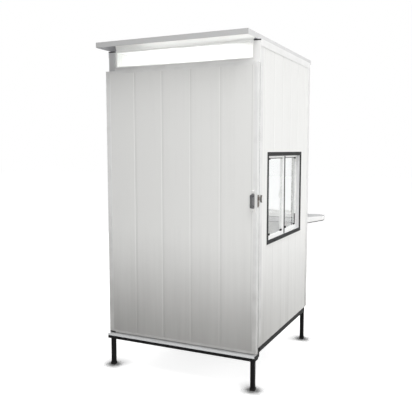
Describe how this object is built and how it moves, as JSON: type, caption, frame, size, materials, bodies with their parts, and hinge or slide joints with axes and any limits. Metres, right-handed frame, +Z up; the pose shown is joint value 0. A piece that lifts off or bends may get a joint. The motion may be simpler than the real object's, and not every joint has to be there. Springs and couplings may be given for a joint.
{
  "type": "security guard booth",
  "caption": "Small insulated-panel guard booth on a low legged steel frame, with an outward door, a sliding window in each side, and a service window over an outside counter.",
  "frame": {"origin": "middle of the ground rectangle under the roof overhang and the counter, at the underside of the feet", "axes": "+Z up; the door faces -Y and the counter +Y; +X is to the right when facing the door"},
  "size_m": [1.4, 1.67, 2.416],
  "materials": {
    "panel_white": "satin polyester coat on steel skins",
    "trim_white": "satin folded sheet",
    "frame_black": "semi-gloss black enamel",
    "window_grey": "dark grey powder coat",
    "sash_white": "white uPVC",
    "pane_clear": "clear float glass",
    "counter_laminate": "light grey laminate",
    "floor_vinyl": "grey vinyl on board",
    "bracket_grey": "dark enamel",
    "hinge_steel": "zinc plated",
    "handle_steel": "dulled steel",
    "foot_rubber": "matt black"
  },
  "bodies": {
    "booth": {"left_wall": "panel_white", "right_wall": "panel_white", "back_wall": "panel_white", "roof_panel": "panel_white", "left_front_post": "trim_white", "right_front_post": "trim_white", "head_rail": "trim_white", "transom_beads": "trim_white", "wall_top_channels": "trim_white", "back_corner_trims": "trim_white", "front_fascia": "trim_white", "back_fascia": "trim_white", "side_fascias": "trim_white", "sill_cap": "trim_white", "left_base_rail": "frame_black", "right_base_rail": "frame_black", "back_base_rail": "frame_black", "front_base_rail": "frame_black", "threshold_beam": "frame_black", "floor_joists": "frame_black", "front_left_leg": "frame_black", "front_right_leg": "frame_black", "back_left_leg": "frame_black", "back_right_leg": "frame_black", "left_window_frame": "window_grey", "right_window_frame": "window_grey", "left_window_sashes": "sash_white", "right_window_sashes": "sash_white", "service_window_sashes": "sash_white", "service_window_frame": "sash_white", "left_window_panes": "pane_clear", "right_window_panes": "pane_clear", "service_window_panes": "pane_clear", "transom_glass": "pane_clear", "counter": "counter_laminate", "floor_board": "floor_vinyl", "counter_brackets": "bracket_grey", "counter_clips": "bracket_grey", "hinge_wall_plates": "hinge_steel", "door_keeper": "handle_steel", "leg_feet": "foot_rubber"},
    "door": {"door_panel": "panel_white", "door_side_channels": "trim_white", "door_end_channels": "trim_white", "hinge_door_plates": "hinge_steel", "pull_handle": "handle_steel", "lock_faceplate": "hinge_steel"}
  },
  "joints": [
    {"name": "door_hinge", "type": "hinge", "parent": "booth", "child": "door", "pos_m": [-0.608, -0.6525, 1.2455], "axis": [0, 0, -1], "range_deg": [0, 170]}
  ]
}
